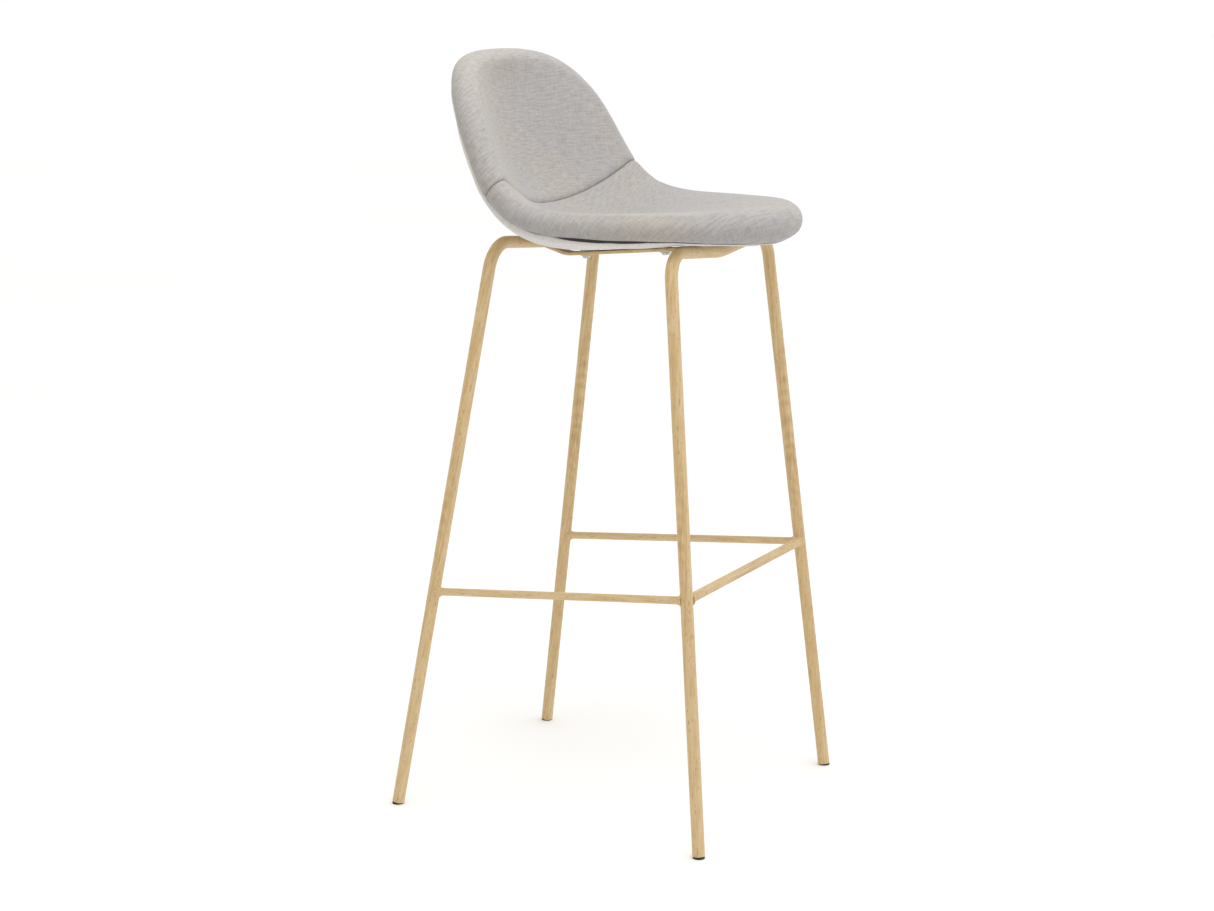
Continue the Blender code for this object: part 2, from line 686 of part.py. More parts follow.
# ---- assembly ------------------------------------------------------------------------------
def build():
    clear_scene()
    parts = new_collection(OBJECT_NAME)
    cutters = new_collection("cutters")
    frame_look = material("oak_printed_steel", (0.56, 0.42, 0.20), 0.45, 0.2)
    looks = {
        "bolt": material("black_zinc_bolt", (0.05, 0.05, 0.05), 0.35, 1.0),
        "zinc": material("zinc_plated_steel", (0.62, 0.62, 0.60), 0.35, 1.0),
        "nylon": material("natural_nylon", (0.80, 0.79, 0.74), 0.40),
        "glide": material("black_polyethylene", (0.03, 0.03, 0.03), 0.55),
        "fabric": material("grey_linen_fabric", (0.50, 0.47, 0.45), 0.90),
        "pale": material("pale_lining_fabric", (0.60, 0.59, 0.56), 0.90),
        "foam": material("moulded_foam", (0.75, 0.70, 0.50), 0.95),
        "shell": material("moulded_polypropylene", (0.70, 0.70, 0.68), 0.50),
    }

    front_cope = make_hoop("front_leg_hoop", front_leg, parts, cutters, frame_look)
    rear_cope = make_hoop("rear_leg_hoop", rear_leg, parts, cutters, frame_look)

    bar = rod_between(
        "footrest_front_bar", front_leg(-1, FOOTREST_FRONT_Z), front_leg(1, FOOTREST_FRONT_Z),
        BAR_RADIUS, parts, frame_look)
    cut(bar, front_cope)
    bar_cope = hide_cutter(rod_between(
        "bar_cope", front_leg(-1, FOOTREST_FRONT_Z), front_leg(1, FOOTREST_FRONT_Z),
        BAR_RADIUS + GAP, cutters))
    below_floor = make_floor_cutter(cutters)
    sides = (("right", -1), ("left", 1))
    for word, side in sides:
        rail = rod_between(
            "footrest_rail_" + word, front_leg(side, FOOTREST_FRONT_Z),
            rear_leg(side, FOOTREST_REAR_Z), RAIL_RADIUS, parts, frame_look)
        cut(rail, front_cope)
        cut(rail, rear_cope)
        cut(rail, bar_cope)
        make_glide(
            "glide_front_" + word, front_leg, side, parts, below_floor, looks["glide"])
        make_glide(
            "glide_rear_" + word, rear_leg, side, parts, below_floor, looks["glide"])
        make_rear_pad("rear_pad_" + word, side, parts, rear_cope, looks["nylon"])

    back_rows = spread(-1.0, SEAM - SEAM_GAP / 2, BACK_ROWS)
    seat_rows = spread(SEAM + SEAM_GAP / 2, 1.0, SEAT_ROWS)
    all_rows = spread(-1.0, SEAM, BACK_ROWS) + spread(SEAM, 1.0, SEAT_ROWS)[1:]
    make_cover("back_cover", back_rows, parts, looks["fabric"])
    make_cover("seat_cover", seat_rows, parts, looks["fabric"])
    layers = {
        "foam": make_foam("foam_pad", all_rows, parts, looks["foam"]),
        "shell": make_open_layer(
            "seat_shell", all_rows, FABRIC + LINING_ROOM, SHELL_EDGE, SHELL_WALL, parts,
            looks["shell"]),
        "underside": make_open_layer(
            "underside_cover", all_rows, 0.0, UNDERSIDE_EDGE, FABRIC, parts, looks["pale"]),
    }
    number = 1
    for word, side in sides:
        strap = make_strap("strap_" + word, side, parts, (front_cope, rear_cope), frame_look)
        for y in (BOLT_FRONT_Y, BOLT_REAR_Y):
            make_bolt_stack(number, side, y, parts, cutters, looks, strap, layers)
            number += 1


build()
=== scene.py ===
"""Bar stool with footrest: the finished look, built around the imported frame.

Two oak-printed steel tube hoops carry a bucket seat: a moulded shell with a foam pad,
covered with two panels of grey linen-look cloth that meet in a cross seam, and closed
underneath by a pale lining.
"""

import math

import bpy
import numpy as np
from mathutils import Matrix, Vector


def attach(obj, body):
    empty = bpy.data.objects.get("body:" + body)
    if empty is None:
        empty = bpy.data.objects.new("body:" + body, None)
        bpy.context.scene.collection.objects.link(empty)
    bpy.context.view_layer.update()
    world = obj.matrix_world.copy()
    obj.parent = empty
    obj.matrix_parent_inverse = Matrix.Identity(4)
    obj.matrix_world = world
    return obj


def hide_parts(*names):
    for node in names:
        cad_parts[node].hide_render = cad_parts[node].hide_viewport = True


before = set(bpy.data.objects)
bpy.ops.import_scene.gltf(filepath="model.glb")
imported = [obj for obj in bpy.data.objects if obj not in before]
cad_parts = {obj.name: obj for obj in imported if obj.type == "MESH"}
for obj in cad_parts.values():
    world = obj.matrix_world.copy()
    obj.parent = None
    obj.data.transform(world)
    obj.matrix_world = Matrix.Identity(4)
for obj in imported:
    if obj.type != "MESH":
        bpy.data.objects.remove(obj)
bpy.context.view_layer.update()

# ---- camera and studio ---------------------------------------------------------------
CAMERA_PLACE = (-2.769, -1.4155, 1.083)
CAMERA_TURN = (78.57, 0.0, -62.57)      # degrees
CAMERA_LENS = 71.3                      # mm on a 36 mm sensor
FLOOR_SIZE = 80.0
LAMP_PLACE, LAMP_AIM = (-0.25, -0.20, 1.65), (0.0, -0.15, 0.76)
LAMP_SIZE, LAMP_WATTS = 0.8, 5.5
BRIGHT_SIDE = (0.74, -0.60, 0.30)
BRIGHT_WALL = (1.28, 1.29, 1.33, 1.0)   # linear light, not a paint
DIM_WALL = (0.68, 0.645, 0.565, 1.0)

# ---- hoops and footrest ----------------------------------------------------------------
TUBE_RADIUS = 0.008
TUBE_WALL = 0.0015
TUBE_SIDES = 40
BEND_RADIUS = 0.033
SAG_BEND_RADIUS = 0.150
HOOP_HEIGHT = 0.7445
HOOP_SAG = 0.0125
GLIDE_STAND = 0.0025
FRONT_FOOT, REAR_FOOT = (0.2035, -0.2125), (0.2045, 0.2275)
FRONT_TOP, REAR_TOP = (0.1445, -0.1400), (0.1405, 0.1105)
FOOTREST_FRONT_Z = 0.3205
FOOTREST_REAR_Z = 0.2890
BAR_RADIUS = 0.006
RAIL_RADIUS = 0.005
WELD_PROFILE = (                        # how far along a bar, and how far out from it
    (0.0, 0.0030), (0.0012, 0.0019), (0.0030, 0.0009), (0.0055, 0.0002), (0.0080, 0.0))
GRAIN_TWIST = 7.0                       # radians a metre: the print runs slightly round the tube
GRAIN_STEP = 0.030                      # longest length of tube between two rings
GLIDE_DEPTH = 0.010                     # drawn this far below the floor, then cut level

# ---- seat ------------------------------------------------------------------------------
# Stations from the top of the back to the front lip, at equal steps of the angle whose
# cosine measures the way along the seat; the same sizes as the frame's seat body.
RIM = (
    (0.0000, 0.1855, 0.1965), (0.0590, 0.1815, 0.1945), (0.1145, 0.1660, 0.1820),
    (0.1540, 0.1405, 0.1475), (0.1732, 0.1145, 0.0990), (0.1807, 0.0850, 0.0490),
    (0.1832, 0.0395, 0.0140), (0.1760, -0.0180, 0.0040), (0.1650, -0.0755, 0.0030),
    (0.1450, -0.1300, 0.0030), (0.1090, -0.1760, 0.0020), (0.0580, -0.2045, 0.0010),
    (0.0000, -0.2125, 0.0000))
SPINE = (
    (0.0, 0.1855, 0.1965), (0.0, 0.1860, 0.1875), (0.0, 0.1845, 0.1600),
    (0.0, 0.1755, 0.1180), (0.0, 0.1565, 0.0650), (0.0, 0.1195, 0.0115),
    (0.0, 0.0575, -0.0210), (0.0, -0.0125, -0.0195), (0.0, -0.0775, -0.0115),
    (0.0, -0.1335, -0.0052), (0.0, -0.1765, -0.0020), (0.0, -0.2030, -0.0002),
    (0.0, -0.2125, 0.0000))
PADDING = 0.032
SEAT_DATUM = HOOP_HEIGHT + TUBE_RADIUS + PADDING / 2
DISH_POWER = 2.2
SIDE_ROLL = 0.0165
LIP_ROLL = 0.0235
LIP_START = 0.70
CROWN = 0.005
BELLY = 0.002
SEAM = -0.226
SEAM_SLANT = 0.115
TUCK_ANGLE = math.radians(-64)
TUCK_DEEPER = math.radians(-18)         # the covers reach further round at the back
TUCK_DIP = 0.0018                       # the groove that their drawn-in edge makes
TUCK_DIP_FROM = 0.86                    # share of the way round the roll
LINING_ANGLE = math.radians(-15)
LINING_SHARE = 0.30
LINING_UNDER = 0.0034                   # how deep the lining lies where the covers lap it
LINING_STEP = math.radians(7)           # turn over which it sinks under the covers
LINING_SLACK = 0.0010
SHADE_THIN, SHADE_WIDE, SHADE_UNEVEN = 0.30, 1.3, 0.35   # shares of the step painted dark: painted shade for the crease beside the covers' edge
LINING_SAG = 0.0048                     # it hangs a little below the seat's sides
LOOSE_PLACE, LOOSE_WIDTH, LOOSE_LIFT = -0.24, 0.045, 0.0026     # the covers' loose place
ROLL_SHARE = 0.24                       # width of the roll on the cloth's grid, rim = 1
COLUMN_EASE = 0.55
CLOTH_THICKNESS = 0.0012
CLOTH_PITCH = 0.0046                    # spacing of the cloth's grid
HALF_WIDTH, HALF_LENGTH = 0.18, 0.235   # of the seat laid out, for the grids' counts
SLOPE_STEP = 0.004
ALLOWANCE = 0.0060                      # cloth turned in at the cross seam
ALLOWANCE_SHARE = 0.05
SEAM_DIP = 0.0017
SEAM_DIP_WIDTH = 0.030
FOAM_INSET = 0.0048
SWELL_MOST = 0.0020
SWELL_FRAMES = 20
SWELL_PRESSURE = 4.0
WEAVE_PITCH = 0.0011


# ---- materials ---------------------------------------------------------------------------
def linear(hex_colour, alpha=1.0):
    """An sRGB hex colour as linear values."""
    parts = [int(hex_colour[i:i + 2], 16) / 255 for i in (1, 3, 5)]
    return (*[c / 12.92 if c <= 0.04045 else ((c + 0.055) / 1.055) ** 2.4 for c in parts], alpha)


def node(tree, kind, settings=None, **links):
    """A shader node with its settings, and links or values for its inputs by name."""
    made = tree.nodes.new("ShaderNode" + kind)
    for name, value in (settings or {}).items():
        if name == "stops":
            ramp = made.color_ramp.elements
            while len(ramp) < len(value):
                ramp.new(0.5)
            for stop, (place, colour) in zip(ramp, value):
                stop.position, stop.color = place, colour
        else:
            setattr(made, name, value)
    for name, value in links.items():
        key = int(name[1:]) if name[0] == "i" and name[1:].isdigit() else name.replace("_", " ")
        socket = made.inputs[key]
        if isinstance(value, bpy.types.NodeSocket):
            tree.links.new(value, socket)
        else:
            socket.default_value = value
    return made


def finish_named(name, **values):
    """A material with its Principled shader's own sockets set; returns material, tree, shader."""
    made = bpy.data.materials.new(name)
    made.use_nodes = True
    shader = made.node_tree.nodes["Principled BSDF"]
    for key, value in values.items():
        shader.inputs[key.replace("_", " ")].default_value = value
    return made, made.node_tree, shader


def oak_print(name, wound):
    """Oak wood-grain transfer film on powder-coated steel, satin: it reads as pale wood, with
    fine lengthwise fibres and a few patches of slanting bands, on what is clearly a tube."""
    made, tree, shader = finish_named(name, Roughness=0.46, IOR=1.5)
    if wound:
        grain = node(tree, "Attribute", {"attribute_name": "grain"}).outputs["Vector"]
    else:                                            # on a strap, straight from front to back
        place = node(tree, "TexCoord").outputs["Object"]
        grain = node(tree, "Mapping", Vector=place, Rotation=(0.0, 0.0, math.pi / 2)).outputs[0]

    def streaks(along, across, detail, seed):
        # along and across count features a metre of tube and round its skin
        mapped = node(tree, "Mapping", Vector=grain, Scale=(along, across, across),
                      Location=(seed, 0.3 * seed, 0.7 * seed))
        return node(tree, "TexNoise", Vector=mapped.outputs[0], Scale=1.0, Detail=detail,
                    Roughness=0.6).outputs["Fac"]

    fibres = streaks(22.0, 330.0, 3.0, 1.0)          # 3 mm fibres, drawn a little coarse
    pores = streaks(110.0, 900.0, 1.0, 5.0)
    clouds = streaks(5.0, 45.0, 2.0, 9.0)
    patches = streaks(3.4, 20.0, 1.0, 14.0)
    mapped = node(tree, "Mapping", Vector=grain, Rotation=(0.0, 0.0, 0.9))
    bands = node(tree, "TexWave", {"wave_type": "BANDS", "bands_direction": "X"},
                 Vector=mapped.outputs[0], Scale=26.0, Distortion=5.0, Detail=2.0,
                 Detail_Scale=0.8)
    masked = node(tree, "MapRange", Value=patches, From_Min=0.52, From_Max=0.66)
    banded = node(tree, "Math", {"operation": "MULTIPLY"}, i0=bands.outputs["Fac"],
                  i1=masked.outputs[0])
    sum_one = node(tree, "Math", {"operation": "MULTIPLY_ADD"}, i0=clouds, i1=0.55, i2=fibres)
    sum_two = node(tree, "Math", {"operation": "MULTIPLY_ADD"}, i0=banded.outputs[0], i1=-0.16,
                   i2=sum_one.outputs[0])
    ramp = node(tree, "ValToRGB", {"stops": (
        (0.42, linear("#a88b5e")), (0.60, linear("#bb9e6f")), (0.76, linear("#c6aa7b")),
        (0.92, linear("#ceb58b")))}, Fac=sum_two.outputs[0])
    flecks = node(tree, "MapRange", Value=pores, From_Min=0.36, From_Max=0.30)
    speckled = node(tree, "Mix", {"data_type": "RGBA"}, Factor=flecks.outputs[0],
                    A=ramp.outputs[0], B=linear("#a3834f"))
    tree.links.new(speckled.outputs["Result"], shader.inputs["Base Color"])
    raised = node(tree, "Bump", Strength=0.10, Distance=0.0004, Height=sum_one.outputs[0])
    tree.links.new(raised.outputs[0], shader.inputs["Normal"])
    gloss = node(tree, "MapRange", Value=fibres, From_Min=0.3, From_Max=0.7, To_Min=0.40,
                 To_Max=0.54)
    tree.links.new(gloss.outputs[0], shader.inputs["Roughness"])
    return made


def linen_look(name, cool, warm, slub=1.0, band=None):
    """Linen-look polyester weave: uneven weft slubs and finer warp in close greys, dull and
    slightly hairy, with faint cooler and warmer patches: a soft heathered grey.  The real
    threads are 0.5 mm apart; the weave is drawn at 1.1 mm and the slubs at 2.4 mm, coarser
    than real, so that they show.  A dark colour can be painted as shade where a vertex attribute
    marks the crease."""
    made, tree, shader = finish_named(
        name, Roughness=0.93, IOR=1.45, Sheen_Weight=0.18, Sheen_Roughness=0.45,
        Specular_IOR_Level=0.2)
    cloth = node(tree, "UVMap").outputs[0]

    def threads(width, length, seed, across, detail=2.0):
        # width and length of a feature in metres, along the weft or else along the warp
        scale = (1 / length, 1 / width, 1.0) if across else (1 / width, 1 / length, 1.0)
        mapped = node(tree, "Mapping", Vector=cloth, Scale=scale, Location=(seed, -seed, seed))
        return node(tree, "TexNoise", {"noise_dimensions": "2D"}, Vector=mapped.outputs[0],
                    Scale=1.0, Detail=detail, Roughness=0.55).outputs["Fac"]

    def ribs(direction):
        # one rib for each thread; a wave's scale counts 20 to the turn
        return node(tree, "TexWave", {"bands_direction": direction}, Vector=cloth,
                    Scale=math.pi / 10 / WEAVE_PITCH, Distortion=0.0).outputs["Fac"]

    def total(first, share, second):
        return node(tree, "Math", {"operation": "MULTIPLY_ADD"}, i0=first, i1=share,
                    i2=second).outputs[0]

    weft = threads(0.0024, 0.019, 3.0, True)
    warp = threads(0.0024, 0.015, 7.0, False)
    heather = threads(0.0012, 0.0038, 11.0, True, 1.0)
    patches = threads(0.160, 0.200, 17.0, True, 1.0)
    slubs = total(heather, 0.40, total(warp, 0.60, weft))
    weave = total(ribs("X"), 0.5, ribs("Y"))
    spread = node(tree, "MapRange", Value=total(weave, 0.10, slubs), From_Min=0.66,
                  From_Max=1.54).outputs[0]
    shades = [
        node(tree, "ValToRGB", {"stops": tuple(
            (place, linear(shade)) for place, shade in zip((0.10, 0.50, 0.90), greys))},
             Fac=spread).outputs[0] for greys in (cool, warm)]
    warmth = node(tree, "MapRange", Value=patches, From_Min=0.36, From_Max=0.64)
    colour = node(tree, "Mix", {"data_type": "RGBA"}, Factor=warmth.outputs[0], i6=shades[0],
                  i7=shades[1])
    if band:                                         # painted shade: a dark band where the lining runs into the crease under the covers
        hem = node(tree, "Attribute", {"attribute_name": "hem"}).outputs["Fac"]
        shaded = node(tree, "MapRange", Value=hem, From_Min=0.18, From_Max=0.42)
        colour = node(tree, "Mix", {"data_type": "RGBA"}, Factor=shaded.outputs[0],
                      i6=colour.outputs["Result"], i7=linear(band))
    tree.links.new(colour.outputs["Result"], shader.inputs["Base Color"])
    raised = node(tree, "Bump", Strength=0.20 * slub, Distance=0.0005,
                  Height=total(weave, 0.35, slubs))
    tree.links.new(raised.outputs[0], shader.inputs["Normal"])
    return made


def speckled_plastic(name, shades, roughness, grain_mm, **values):
    """Moulded plastic: nearly one colour, with a fine moulded grain in colour and relief, so
    that highlights break up softly."""
    made, tree, shader = finish_named(name, IOR=1.5, **values)
    place = node(tree, "TexCoord").outputs["Object"]
    fine = node(tree, "TexNoise", Vector=place, Scale=1000 / grain_mm, Detail=2.0)
    ramp = node(tree, "ValToRGB", {"stops": (
        (0.35, linear(shades[0])), (0.65, linear(shades[1])))}, Fac=fine.outputs["Fac"])
    tree.links.new(ramp.outputs[0], shader.inputs["Base Color"])
    dull = node(tree, "MapRange", Value=fine.outputs["Fac"], To_Min=roughness - 0.06,
                To_Max=roughness + 0.06)
    tree.links.new(dull.outputs[0], shader.inputs["Roughness"])
    raised = node(tree, "Bump", Strength=0.15, Distance=0.0002, Height=fine.outputs["Fac"])
    tree.links.new(raised.outputs[0], shader.inputs["Normal"])
    return made


def plated_steel(name, shades, roughness):
    """Zinc-plated and passivated steel: a cloudy satin metal, bright only in places."""
    made, tree, shader = finish_named(name, Metallic=1.0)
    place = node(tree, "TexCoord").outputs["Object"]
    clouds = node(tree, "TexNoise", Vector=place, Scale=420.0, Detail=3.0)
    ramp = node(tree, "ValToRGB", {"stops": (
        (0.35, linear(shades[0])), (0.65, linear(shades[1])))}, Fac=clouds.outputs["Fac"])
    tree.links.new(ramp.outputs[0], shader.inputs["Base Color"])
    dull = node(tree, "MapRange", Value=clouds.outputs["Fac"], To_Min=roughness - 0.08,
                To_Max=roughness + 0.10)
    tree.links.new(dull.outputs[0], shader.inputs["Roughness"])
    return made


def studio_floor():
    """Matt white studio floor, very slightly uneven in tone."""
    made, tree, shader = finish_named("studio_floor_paint", Roughness=0.8)
    place = node(tree, "TexCoord").outputs["Object"]
    tone = node(tree, "TexNoise", Vector=place, Scale=0.6, Detail=1.0)
    ramp = node(tree, "ValToRGB", {"stops": (
        (0.3, linear("#fcfcfb")), (0.7, linear("#fefefe")))}, Fac=tone.outputs["Fac"])
    tree.links.new(ramp.outputs[0], shader.inputs["Base Color"])
    return made


OAK = oak_print("oak_print_on_steel_tube", True)
STRAP_OAK = oak_print("oak_print_on_steel_strap", False)
LINEN = linen_look("grey_linen_look_weave", ("#93908f", "#a09d9c", "#aaa7a5"),
                   ("#95918b", "#a39e98", "#ada8a2"))
# the lining's last colour, #3a393b, is painted shade for the crease under the covers' edge
LINING = linen_look("pale_lining_cloth", ("#bcbab9", "#c7c5c4", "#cfcecc"),
                    ("#bfbcb7", "#cac7c2", "#d1cfcb"), 0.6, "#3a393b")
# near-black inside of the covers: painted shade that darkens the crease, not the cloth's own
# colour
INSIDE_SHADE = linen_look("dark_inside_painted_shade", ("#232225", "#2d2c2f", "#37363a"),
                     ("#252326", "#2f2d30", "#39373a"), 0.5)
BLACK_PLASTIC = speckled_plastic("black_polyethylene", ("#17140f", "#241f19"), 0.55, 0.8)
NYLON = speckled_plastic("natural_nylon", ("#d9d5c8", "#e6e3d8"), 0.38, 1.2,
                         Transmission_Weight=0.25, Subsurface_Weight=0.2)
SHELL_PLASTIC = speckled_plastic("moulded_polypropylene", ("#bdbdb6", "#c6c6c0"), 0.5, 1.0)
FOAM = speckled_plastic("moulded_polyurethane_foam", ("#cdbf94", "#e0d4ad"), 0.95, 1.5)
BRIGHT_ZINC = plated_steel("bright_zinc_plated_steel", ("#a9abac", "#c3c5c6"), 0.33)


# ---- working by hand ------------------------------------------------------------------------
def deselect():
    bpy.ops.object.select_all(action="DESELECT")


def pick(piece):
    deselect()
    piece.select_set(True)
    bpy.context.view_layer.objects.active = piece


def settle(name, piece, look, angle=35.0):
    """Names a finished piece, puts its place into its mesh and shades it."""
    piece.name = name
    piece.data.name = name
    pick(piece)
    bpy.ops.object.transform_apply(location=True, rotation=True, scale=True)
    piece.data.materials.clear()
    piece.data.materials.append(look)
    bpy.ops.object.shade_smooth_by_angle(angle=math.radians(angle))
    return piece


def point_outwards(piece):
    pick(piece)
    bpy.ops.object.mode_set(mode="EDIT")
    bpy.ops.mesh.select_all(action="SELECT")
    bpy.ops.mesh.remove_doubles(threshold=0.000001)
    bpy.ops.mesh.normals_make_consistent(inside=False)
    bpy.ops.object.mode_set(mode="OBJECT")


def apply_modifier(piece, kind, **settings):
    pick(piece)
    modifier = piece.modifiers.new(kind.lower(), kind)
    for name, value in settings.items():
        setattr(modifier, name, value)
    bpy.ops.object.modifier_apply(modifier=modifier.name)


def keep(piece, slot, *nodes):
    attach(piece, "root")
    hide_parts(*nodes)


# ---- tubes -------------------------------------------------------------------------------
def start_ring(centre, way, radius, sides):
    """A ring square to the way that a tube sets out in; edit mode stays on."""
    deselect()
    bpy.ops.mesh.primitive_circle_add(
        vertices=sides, radius=radius, location=centre,
        rotation=way.to_track_quat("Z", "Y").to_euler())
    ring = bpy.context.object
    bpy.ops.object.transform_apply(location=True, rotation=True, scale=True)
    bpy.ops.object.mode_set(mode="EDIT")
    bpy.ops.mesh.select_mode(type="VERT")
    bpy.ops.mesh.select_all(action="SELECT")
    return ring


def run_on(step):
    bpy.ops.mesh.extrude_region_move(TRANSFORM_OT_translate={"value": step})


def run_straight(step):
    """Runs on in short lengths, so that the print can wind round the tube."""
    count = max(1, math.ceil(step.length / GRAIN_STEP))
    for _ in range(count):
        run_on(step / count)


def run_through(origin, way, rings):
    """Closes the first ring, then runs it on through places along a way, each with its radius."""
    bpy.ops.mesh.edge_face_add()
    here, size = rings[0]
    for place, wanted in rings[1:]:
        run_straight(way * (place - here))
        share = wanted / size
        bpy.ops.transform.resize(
            value=(share, share, share), center_override=origin + way * place)
        here, size = place, wanted


def arc_of(before, corner, after, radius):
    """Where a bend starts, its centre, axis, turn and end."""
    way_in, way_out = (corner - before).normalized(), (after - corner).normalized()
    turn = way_in.angle(way_out)
    start = corner - way_in * (radius * math.tan(turn / 2))
    centre = corner + (way_out - way_in).normalized() * (radius / math.cos(turn / 2))
    axis = way_in.cross(way_out).normalized()
    end = centre + Matrix.Rotation(turn, 3, axis) @ (start - centre)
    return start, centre, axis, turn, end


def lay_grain(piece, line, flat_normal):
    """Writes the grain attribute: the way along the tube, and the place round its skin."""
    count = len(piece.data.vertices)
    places = np.empty(count * 3)
    piece.data.vertices.foreach_get("co", places)
    places = places.reshape(-1, 3)
    line = np.array([tuple(point) for point in line])
    starts, steps = line[:-1], np.diff(line, axis=0)
    lengths = np.linalg.norm(steps, axis=1)
    before = np.concatenate(([0.0], np.cumsum(lengths)))[:-1]
    offsets = places[:, None, :] - starts[None, :, :]
    shares = np.clip((offsets * steps).sum(2) / lengths ** 2, 0, 1)
    feet = starts + shares[..., None] * steps
    nearest = np.linalg.norm(places[:, None, :] - feet, axis=2).argmin(1)
    rows = np.arange(count)
    along = before[nearest] + shares[rows, nearest] * lengths[nearest]
    offset = places - feet[rows, nearest]
    ways = steps[nearest] / lengths[nearest][:, None]
    normal = np.array(tuple(flat_normal))
    side = np.cross(ways, normal)
    angle = np.arctan2((offset * normal).sum(1), (offset * side).sum(1)) + GRAIN_TWIST * along
    reach = np.linalg.norm(offset, axis=1)
    grain = np.stack((along, reach * np.cos(angle), reach * np.sin(angle)), axis=1)
    layer = piece.data.attributes.new("grain", "FLOAT_VECTOR", "POINT")
    layer.data.foreach_set("vector", grain.ravel())


def leg_point(foot, top, side, height):
    share = height / HOOP_HEIGHT
    return Vector((side * (foot[0] + (top[0] - foot[0]) * share),
                   foot[1] + (top[1] - foot[1]) * share, height))


def make_hoop(name, foot, top, cad_node):
    """One bent tube: up a leg, round the bend, along the shallow V and down the other leg."""
    feet = [leg_point(foot, top, side, 0.0) for side in (-1, 1)]
    tops = [leg_point(foot, top, side, HOOP_HEIGHT) for side in (-1, 1)]
    ends = [low + (high - low).normalized() * GLIDE_STAND for low, high in zip(feet, tops)]
    middle = (tops[0] + tops[1]) / 2 - Vector((0, 0, HOOP_SAG))
    corners = [ends[0], tops[0], middle, tops[1], ends[1]]
    hoop = start_ring(ends[0], tops[0] - ends[0], TUBE_RADIUS, TUBE_SIDES)
    here, line = ends[0], [ends[0]]
    for before, corner, after, radius, steps in zip(
            corners, corners[1:], corners[2:], (BEND_RADIUS, SAG_BEND_RADIUS, BEND_RADIUS),
            (16, 8, 16)):
        start, centre, axis, turn, end = arc_of(before, corner, after, radius)
        run_straight(start - here)
        bpy.ops.mesh.spin(steps=steps, angle=-turn, center=centre, axis=axis)
        line += [centre + Matrix.Rotation(turn * step / steps, 3, axis) @ (start - centre)
                 for step in range(steps + 1)]
        here = end
    run_straight(ends[1] - here)
    line.append(ends[1])
    bpy.ops.object.mode_set(mode="OBJECT")
    point_outwards(hoop)
    apply_modifier(hoop, "SOLIDIFY", thickness=TUBE_WALL, offset=-1.0, use_even_offset=True)
    plane_normal = Vector((1, 0, 0)).cross(tops[0] - feet[0]).normalized()
    lay_grain(hoop, line, plane_normal)
    settle(name, hoop, OAK, 50.0)
    keep(hoop, "frame_finish", cad_node)


def make_rail(name, start, end, radius, cad_node):
    """A round bar with a small weld fillet at each end, sunk into the two legs."""
    way = (end - start).normalized()
    half_length = (end - start).length / 2
    rings = [(TUBE_RADIUS - 0.003, radius + 0.0034)]
    rings += [(TUBE_RADIUS - 0.0006 + reach, radius + flare) for reach, flare in WELD_PROFILE]
    rings += [(2 * half_length - place, size) for place, size in reversed(rings)]
    bar = start_ring(start + way * rings[0][0], way, rings[0][1], TUBE_SIDES)
    run_through(start, way, rings)
    bpy.ops.object.mode_set(mode="OBJECT")
    point_outwards(bar)
    lay_grain(bar, [start, end], Vector((0, 0, 1)))
    settle(name, bar, OAK, 50.0)
    keep(bar, "frame_finish", cad_node)


front_low = [leg_point(FRONT_FOOT, FRONT_TOP, side, FOOTREST_FRONT_Z) for side in (-1, 1)]
rear_low = [leg_point(REAR_FOOT, REAR_TOP, side, FOOTREST_REAR_Z) for side in (-1, 1)]
make_hoop("front_hoop", FRONT_FOOT, FRONT_TOP, "front_leg_hoop")
make_hoop("rear_hoop", REAR_FOOT, REAR_TOP, "rear_leg_hoop")
make_rail("footrest_bar", front_low[0], front_low[1], BAR_RADIUS, "footrest_front_bar")
make_rail("right_rail", front_low[0], rear_low[0], RAIL_RADIUS, "footrest_rail_right")
make_rail("left_rail", front_low[1], rear_low[1], RAIL_RADIUS, "footrest_rail_left")


# ---- glides -------------------------------------------------------------------------------
def make_glide(name, foot, top, side, cad_node):
    """A plastic plug: a flange under the tube's end, cut level with the floor."""
    low = leg_point(foot, top, side, 0.0)
    way = (leg_point(foot, top, side, HOOP_HEIGHT) - low).normalized()
    flange = TUBE_RADIUS - 0.0004
    plug = TUBE_RADIUS - TUBE_WALL - 0.0003
    rings = ((-GLIDE_DEPTH, flange), (GLIDE_STAND - 0.0009, flange),
             (GLIDE_STAND - 0.0003, flange - 0.0005), (GLIDE_STAND - 0.0003, plug),
             (GLIDE_STAND + 0.017, plug), (GLIDE_STAND + 0.018, plug - 0.001))
    glide = start_ring(low + way * rings[0][0], way, flange, TUBE_SIDES)
    run_through(low, way, rings)
    bpy.ops.mesh.select_all(action="SELECT")
    bpy.ops.mesh.bisect(
        plane_co=(0, 0, 0), plane_no=(0, 0, 1), use_fill=True, clear_inner=True)
    bpy.ops.object.mode_set(mode="OBJECT")
    point_outwards(glide)
    settle(name, glide, BLACK_PLASTIC)
    keep(glide, "glide_plastic", cad_node)


for word, side in (("right", -1), ("left", 1)):
    make_glide("front_glide_" + word, FRONT_FOOT, FRONT_TOP, side, "glide_front_" + word)
    make_glide("rear_glide_" + word, REAR_FOOT, REAR_TOP, side, "glide_rear_" + word)


# ---- seat surface --------------------------------------------------------------------------
def loop_through(stations):
    """Stations round the whole seat, and the second slopes of the smooth curve through them."""
    half = [np.array(station) for station in stations]
    mirrored = [station * (-1, 1, 1) for station in half[-2:0:-1]]
    loop = np.array(half + mirrored)
    count = len(loop)
    system = 4 * np.eye(count) + np.roll(np.eye(count), 1, 0) + np.roll(np.eye(count), -1, 0)
    change = np.roll(loop, -1, 0) - 2 * loop + np.roll(loop, 1, 0)
    return loop, np.linalg.solve(system, 6 * change)


RIM_LOOP, SPINE_LOOP = loop_through(RIM), loop_through(SPINE)


